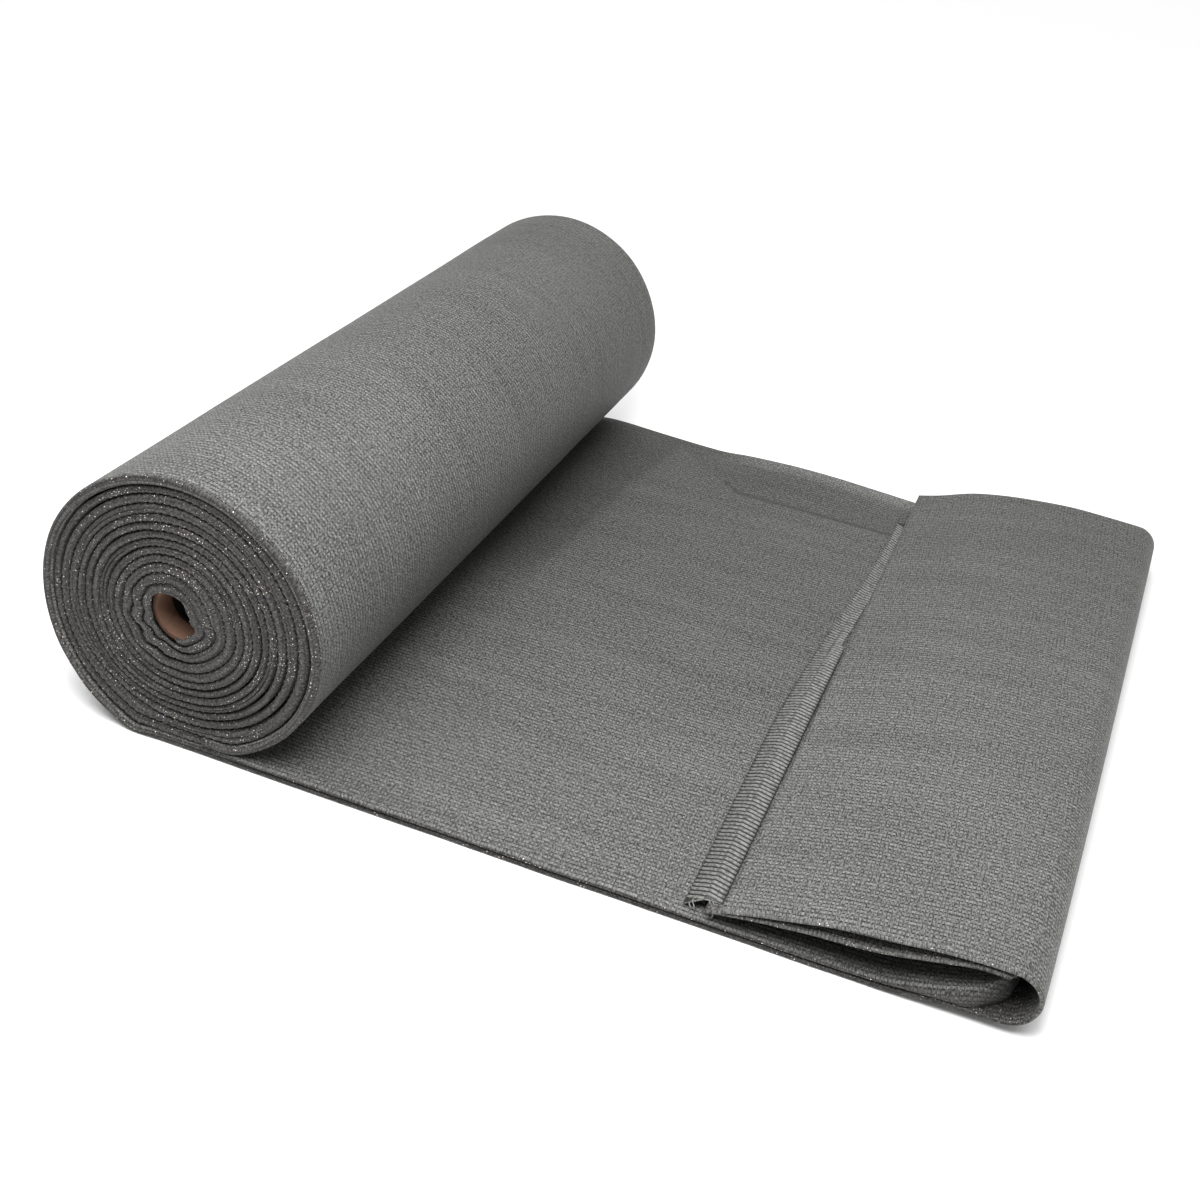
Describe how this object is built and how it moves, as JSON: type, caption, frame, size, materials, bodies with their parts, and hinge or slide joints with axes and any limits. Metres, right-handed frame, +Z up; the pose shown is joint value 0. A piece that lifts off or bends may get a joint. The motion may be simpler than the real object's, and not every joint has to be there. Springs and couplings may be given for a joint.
{
  "type": "roll of shade cloth on a cardboard core",
  "caption": "Grey knitted shade cloth folded lengthwise and wound on a cardboard core, its loose end laid flat, turned back over itself and finished with a ribbed band.",
  "frame": {"origin": "middle of the footprint, on the floor", "axes": "+X the way the cloth unrolls, +Y along the roll from its near end, +Z up"},
  "size_m": [0.4872, 0.4576, 0.1381],
  "materials": {
    "knit": "matte knitted plastic yarn and tape, mid grey, with fine open holes",
    "ribbed_band": "matte, dense slanting ribs in two rows",
    "cardboard": "matte brown wound paper board"
  },
  "bodies": {
    "root": {"core_tube": "cardboard", "wound_cloth": "knit", "loose_end": "knit", "end_band": "ribbed_band"}
  },
  "joints": []
}
